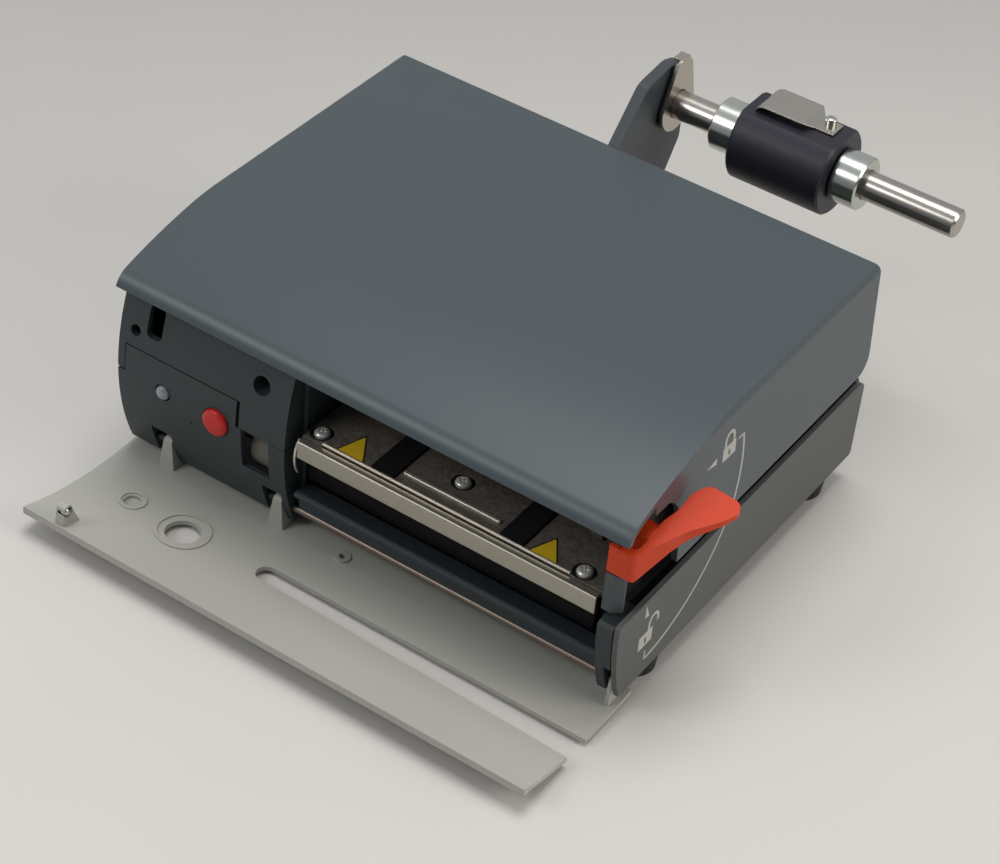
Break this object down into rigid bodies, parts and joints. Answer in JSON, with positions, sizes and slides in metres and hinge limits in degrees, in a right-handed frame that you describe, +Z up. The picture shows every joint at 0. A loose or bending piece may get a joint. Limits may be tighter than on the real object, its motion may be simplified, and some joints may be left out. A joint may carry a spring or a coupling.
{
  "type": "portable label printer",
  "caption": "Portable label printer with a lid hinged on its left side, an open front flap, a lever that lifts the head over the roller, and an unwinder arm behind.",
  "frame": {"origin": "bottom centre of the whole object's box, on the surface that it stands on", "axes": "+X to the right seen from the front, +Y to the back, +Z up"},
  "size_m": [0.248, 0.289, 0.1253],
  "materials": {
    "cover_slate": "fine satin texture",
    "panel_dark": "fine satin texture",
    "side_grey": "satin",
    "flap_grey": "fine satin texture",
    "lever_orange": "satin",
    "button_red": "smooth",
    "light_clear": "frosted clear",
    "stainless": "brushed along its length",
    "zinc": "bright zinc",
    "head_cast": "galvanised sheet with dark spangle",
    "black_plastic": "matt black",
    "rubber": "matt",
    "core_dark": "dark anodised",
    "arm_grey": "fine powder coat",
    "board_green": "solder mask",
    "nylon": "natural nylon"
  },
  "bodies": {
    "frame": {"left_side_panel": "panel_dark", "base_tray": "panel_dark", "lower_front_panel": "panel_dark", "upper_front_housing": "panel_dark", "lower_side_panel": "side_grey", "right_frame_plate": "panel_dark", "lever_post": "panel_dark", "front_cross_bar": "panel_dark", "status_light_pipe": "light_clear", "housing_screw": "zinc", "cover_hinge_pin": "stainless", "flap_hinge_rod": "stainless", "head_pivot_shaft": "stainless", "stepper_motor": "black_plastic", "centre_plate": "zinc", "supply_spindle": "stainless", "media_guide_plate": "zinc", "fixed_edge_guide": "black_plastic", "media_sensor": "black_plastic", "control_board": "board_green", "power_inlet": "black_plastic", "switch_frame": "black_plastic", "usb_socket": "zinc", "serial_socket": "zinc", "foot_front_left": "rubber", "foot_front_right": "rubber", "foot_rear_left": "rubber", "foot_rear_right": "rubber", "unwinder_arm": "arm_grey", "unwinder_shaft": "stainless", "unwinder_backing_pad": "black_plastic", "unwinder_hook_plate": "stainless", "set_collar_inner": "zinc", "set_collar_outer": "zinc"},
    "lid": {"top_cover": "cover_slate"},
    "flap": {"front_flap": "flap_grey"},
    "catch": {"catch_ball": "stainless"},
    "head_lever": {"lever_grip": "lever_orange"},
    "cam_shaft": {"head_cam_shaft": "stainless"},
    "printhead": {"head_plate": "head_cast", "head_front_strip": "stainless", "thermal_printhead": "zinc", "head_tappet_left": "black_plastic", "head_tappet_right": "black_plastic"},
    "button": {"feed_button": "button_red"},
    "platen": {"platen_roller": "rubber", "platen_shaft": "stainless", "thumbwheel": "side_grey", "platen_gear": "nylon"},
    "idler": {"idler_gear": "nylon"},
    "motor_rotor": {"motor_pinion": "zinc"},
    "upper_idler": {"upper_idler_gear": "nylon"},
    "takeup": {"takeup_gear": "nylon", "takeup_spindle": "stainless", "ribbon_takeup_hub": "black_plastic"},
    "supply": {"ribbon_supply_hub": "black_plastic"},
    "edge_guide": {"sliding_edge_guide": "black_plastic"},
    "rocker": {"switch_rocker": "black_plastic"},
    "core": {"unwinder_core": "core_dark", "leaf_spring": "stainless"}
  },
  "joints": [
    {"name": "lid_hinge", "type": "hinge", "parent": "frame", "child": "lid", "pos_m": [-0.11799, 0.01365, 0.057], "axis": [0, -1, 0], "range_deg": [0, 90]},
    {"name": "flap_hinge", "type": "hinge", "parent": "frame", "child": "flap", "pos_m": [-0.00898, -0.08235, 0.0142], "axis": [-1, 0, 0], "range_deg": [0, 87]},
    {"name": "catch_ball_slide", "type": "slide", "parent": "flap", "child": "catch", "axis": [-1, 0, 0], "range_m": [0, 0.0008], "stiffness_N_per_m": 300},
    {"name": "head_lever_hinge", "type": "hinge", "parent": "frame", "child": "head_lever", "pos_m": [0.09602, -0.07335, 0.073], "axis": [-1, 0, 0], "range_deg": [0, 90]},
    {"name": "cam_shaft_turn", "type": "hinge", "parent": "frame", "child": "cam_shaft", "pos_m": [0.02601, -0.05505, 0.073], "axis": [1, 0, 0], "range_deg": [0, 90]},
    {"name": "printhead_lift", "type": "hinge", "parent": "frame", "child": "printhead", "pos_m": [0.02601, -0.02635, 0.052], "axis": [-1, 0, 0], "range_deg": [0, 6]},
    {"name": "feed_button_press", "type": "slide", "parent": "frame", "child": "button", "axis": [0, 1, 0], "range_m": [0, 0.0015], "stiffness_N_per_m": 300},
    {"name": "platen_spin", "type": "hinge", "parent": "frame", "child": "platen", "pos_m": [0.02601, -0.07385, 0.034], "axis": [1, 0, 0], "continuous": true},
    {"name": "idler_spin", "type": "hinge", "parent": "frame", "child": "idler", "pos_m": [-0.04798, -0.04697, 0.03874], "axis": [1, 0, 0], "continuous": true},
    {"name": "motor_spin", "type": "hinge", "parent": "frame", "child": "motor_rotor", "pos_m": [-0.04798, -0.02492, 0.03874], "axis": [1, 0, 0], "continuous": true},
    {"name": "upper_idler_spin", "type": "hinge", "parent": "frame", "child": "upper_idler", "pos_m": [-0.04798, -0.02446, 0.05704], "axis": [1, 0, 0], "continuous": true},
    {"name": "takeup_spin", "type": "hinge", "parent": "frame", "child": "takeup", "pos_m": [0.01602, -0.00835, 0.08], "axis": [1, 0, 0], "continuous": true},
    {"name": "supply_spin", "type": "hinge", "parent": "frame", "child": "supply", "pos_m": [0.01602, 0.03965, 0.075], "axis": [1, 0, 0], "continuous": true},
    {"name": "edge_guide_slide", "type": "slide", "parent": "frame", "child": "edge_guide", "axis": [-1, 0, 0], "range_m": [0, 0.07]},
    {"name": "rocker_switch", "type": "hinge", "parent": "frame", "child": "rocker", "pos_m": [-0.07198, 0.08455, 0.0295], "axis": [1, 0, 0], "range_deg": [-12, 0]},
    {"name": "core_spin", "type": "hinge", "parent": "frame", "child": "core", "pos_m": [0.03802, 0.12665, 0.1046], "axis": [1, 0, 0], "continuous": true}
  ],
  "couplings": [
    {"joint": "cam_shaft_turn", "follows": "head_lever_hinge", "ratio": 1},
    {"joint": "printhead_lift", "follows": "head_lever_hinge", "ratio": 0.066667},
    {"joint": "idler_spin", "follows": "platen_spin", "ratio": -0.8},
    {"joint": "motor_spin", "follows": "platen_spin", "ratio": 1.7778},
    {"joint": "upper_idler_spin", "follows": "platen_spin", "ratio": -1.0667},
    {"joint": "takeup_spin", "follows": "platen_spin", "ratio": 0.72727}
  ]
}
